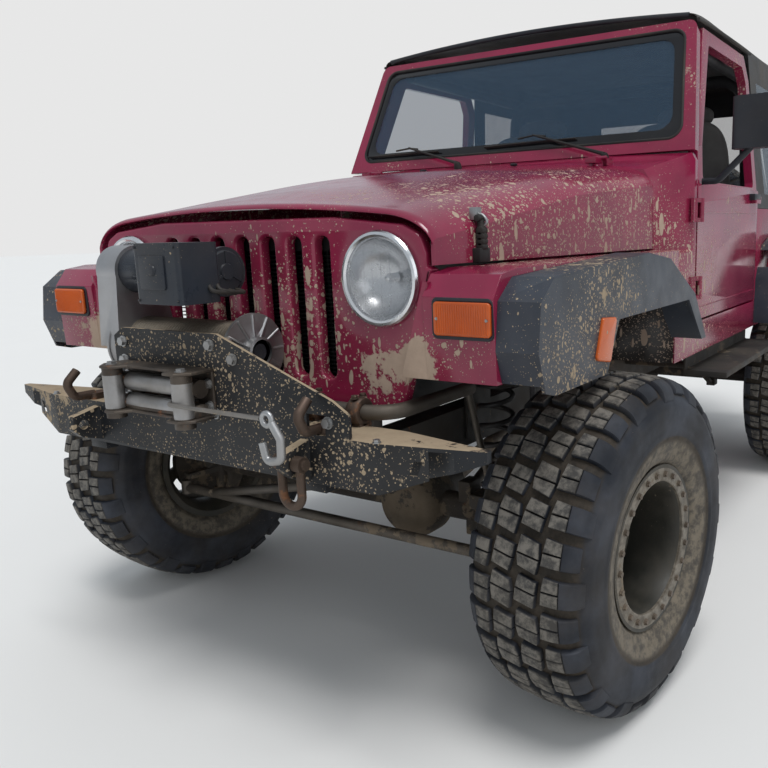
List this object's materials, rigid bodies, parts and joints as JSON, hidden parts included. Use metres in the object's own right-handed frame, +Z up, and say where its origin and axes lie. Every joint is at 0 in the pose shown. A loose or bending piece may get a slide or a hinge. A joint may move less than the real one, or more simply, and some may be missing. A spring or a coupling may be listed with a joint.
{
  "type": "off-road vehicle",
  "caption": "Lifted short-wheelbase off-road vehicle with soft top, steel doors, stub front bumper carrying an upright winch and roller fairlead, and a rear-carried spare wheel.",
  "frame": {"origin": "on the ground under the middle of the vehicle's length and width", "axes": "+X forward, +Y to the vehicle's left, +Z up"},
  "size_m": [4.0946, 2.0096, 1.964],
  "materials": {
    "paint": "burgundy gloss paint under dried tan mud",
    "frame_steel": "black satin paint, muddy",
    "bumper_steel": "black satin paint with tan mud",
    "black_plastic": "matt black textured plastic",
    "trim_plastic": "matt dark grey plastic",
    "soft_top": "black vinyl-coated cloth",
    "clear_vinyl": "clear flexible window sheet",
    "screen_glass": "clear safety glass",
    "lamp": "clear lamp lens in grey bezel",
    "signal": "amber lens",
    "seat_cloth": "grey woven cloth",
    "dash": "matt dark plastic",
    "bar": "black paint",
    "engine": "cast metal",
    "tank": "black plastic",
    "exhaust": "dull weathered steel",
    "axle": "black and muddy cast metal",
    "spring": "black paint with mud",
    "link": "bare steel with mud film",
    "tyre": "black rubber, muddy",
    "rim": "cast alloy caked with tan mud",
    "winch_case": "grey cast alloy, dusty",
    "winch_drum": "worn steel with wound wire rope",
    "winch_motor": "black gloss paint, dusty",
    "fairlead": "rusty plates with grey zinc rollers",
    "rope": "dull wire rope",
    "recovery": "rusty forged steel",
    "hook": "zinc-plated forged steel",
    "radiator": "dark finned core"
  },
  "bodies": {
    "vehicle": {"frame_rails": "frame_steel", "cross_members": "frame_steel", "body_tub": "paint", "grille_shell": "paint", "headlamps": "lamp", "radiator": "radiator", "front_fenders": "paint", "fender_flares": "black_plastic", "windscreen_frame": "black_plastic", "windscreen_glass": "screen_glass", "soft_top": "soft_top", "top_windows": "clear_vinyl", "dashboard": "dash", "seats": "seat_cloth", "sport_bar": "bar", "engine_gearbox": "engine", "fuel_tank": "tank", "exhaust": "exhaust", "driveshafts": "link", "front_axle": "axle", "rear_axle": "axle", "springs_and_shocks": "spring", "suspension_links": "link", "sway_bar": "link", "front_bumper": "bumper_steel", "fairlead": "fairlead", "winch_housing": "winch_case", "winch_drum": "winch_drum", "winch_motor": "winch_motor", "winch_rope": "rope", "bow_shackle": "recovery", "winch_hook": "hook", "tow_hooks": "recovery", "rock_rails": "frame_steel", "rear_bumper": "bumper_steel", "signal_lamps": "signal"},
    "hood": {"hood": "paint"},
    "door_left": {"door_left": "paint", "mirror_left": "black_plastic"},
    "door_right": {"door_right": "paint"},
    "wheel_front_left": {"front_left_tyre": "tyre", "front_left_rim": "rim"},
    "wheel_front_right": {"front_right_tyre": "tyre", "front_right_rim": "rim"},
    "wheel_rear_left": {"rear_left_tyre": "tyre", "rear_left_rim": "rim"},
    "wheel_rear_right": {"rear_right_tyre": "tyre", "rear_right_rim": "rim"},
    "steer_left": {"knuckle_left": "axle"},
    "steer_right": {"knuckle_right": "axle"},
    "steering_link": {"tie_rod": "link"},
    "pitman": {"pitman_arm": "link"},
    "tailgate": {"tailgate": "paint", "spare_tyre": "tyre", "spare_rim": "rim"}
  },
  "joints": [
    {"name": "steer_left", "type": "hinge", "parent": "vehicle", "child": "steer_left", "pos_m": [1.3367, 0.658, 0.424], "axis": [0, 0, 1], "range_deg": [-19, 31]},
    {"name": "steer_right", "type": "hinge", "parent": "vehicle", "child": "steer_right", "pos_m": [1.3367, -0.658, 0.424], "axis": [0, 0, 1], "range_deg": [-19, 31]},
    {"name": "pitman_turn", "type": "hinge", "parent": "vehicle", "child": "pitman", "pos_m": [1.4367, 0.318, 0.563], "axis": [0, 0, 1], "range_deg": [-19, 31]},
    {"name": "steering_link_turn", "type": "hinge", "parent": "steer_left", "child": "steering_link", "pos_m": [1.47593, 0.64337, 0.362], "axis": [0, 0, 1], "range_deg": [-31, 19]},
    {"name": "wheel_front_left_spin", "type": "hinge", "parent": "steer_left", "child": "wheel_front_left", "pos_m": [1.35311, 0.81414, 0.424], "axis": [0.1045, 0.9945, 0], "continuous": true},
    {"name": "wheel_front_right_spin", "type": "hinge", "parent": "steer_right", "child": "wheel_front_right", "pos_m": [1.32029, -0.81414, 0.424], "axis": [0.1045, 0.9945, 0], "continuous": true},
    {"name": "wheel_rear_left_spin", "type": "hinge", "parent": "vehicle", "child": "wheel_rear_left", "pos_m": [-1.0353, 0.815, 0.424], "axis": [0, 1, 0], "continuous": true},
    {"name": "wheel_rear_right_spin", "type": "hinge", "parent": "vehicle", "child": "wheel_rear_right", "pos_m": [-1.0353, -0.815, 0.424], "axis": [0, 1, 0], "continuous": true},
    {"name": "hood_open", "type": "hinge", "parent": "vehicle", "child": "hood", "pos_m": [0.6407, 0, 1.423], "axis": [0, -1, 0], "range_deg": [0, 60]},
    {"name": "door_left_open", "type": "hinge", "parent": "vehicle", "child": "door_left", "pos_m": [0.4347, 0.761, 1.1], "axis": [0, 0, -1], "range_deg": [0, 70]},
    {"name": "door_right_open", "type": "hinge", "parent": "vehicle", "child": "door_right", "pos_m": [0.4347, -0.761, 1.1], "axis": [0, 0, 1], "range_deg": [0, 70]},
    {"name": "tailgate_open", "type": "hinge", "parent": "vehicle", "child": "tailgate", "pos_m": [-1.6793, -0.479, 1.05], "axis": [0, 0, 1], "range_deg": [0, 90]}
  ],
  "couplings": [
    {"joint": "steer_right", "follows": "steer_left", "ratio": 1},
    {"joint": "pitman_turn", "follows": "steer_left", "ratio": 1},
    {"joint": "steering_link_turn", "follows": "steer_left", "ratio": -1}
  ]
}
